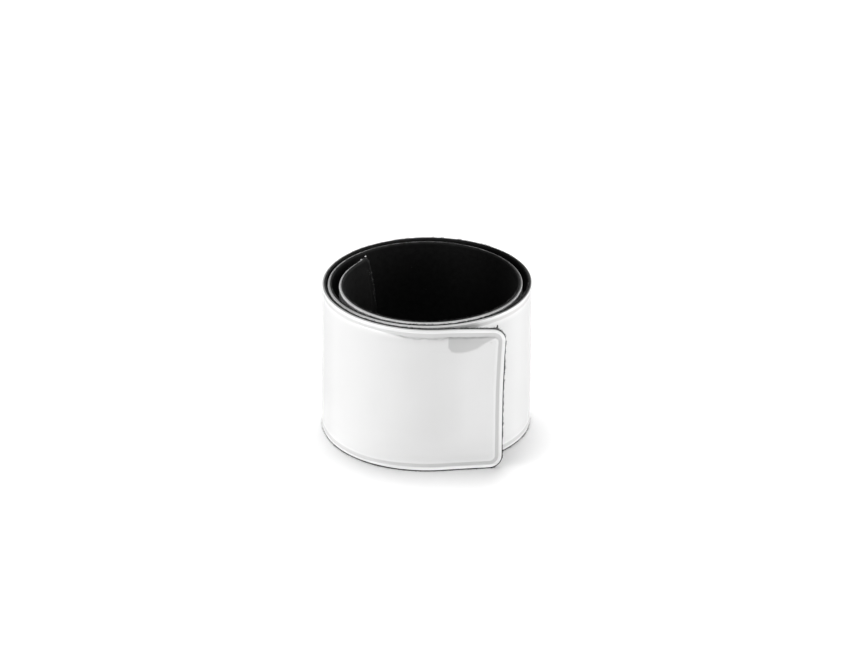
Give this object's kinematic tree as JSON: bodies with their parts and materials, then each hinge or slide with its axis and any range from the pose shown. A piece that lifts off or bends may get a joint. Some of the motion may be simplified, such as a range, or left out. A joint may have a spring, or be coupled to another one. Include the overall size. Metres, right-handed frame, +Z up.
{
  "type": "reflective band",
  "caption": "Flat reflective strip with a black velour back, snapped into an open coil that grips a wrist, ankle or strap and shines light back.",
  "frame": {"origin": "on the surface that the coil stands on, in the middle of its outline seen from above", "axes": "+Z up along the coil's axis, -Y towards the front where the outer free end lies, +X to the right"},
  "size_m": [0.0406, 0.042, 0.03],
  "materials": {
    "reflective_film": "glossy film over fine reflective beads",
    "black_velour": "short even nap"
  },
  "bodies": {
    "root": {"reflective_front": "reflective_film", "flocked_backing": "black_velour"}
  },
  "joints": []
}
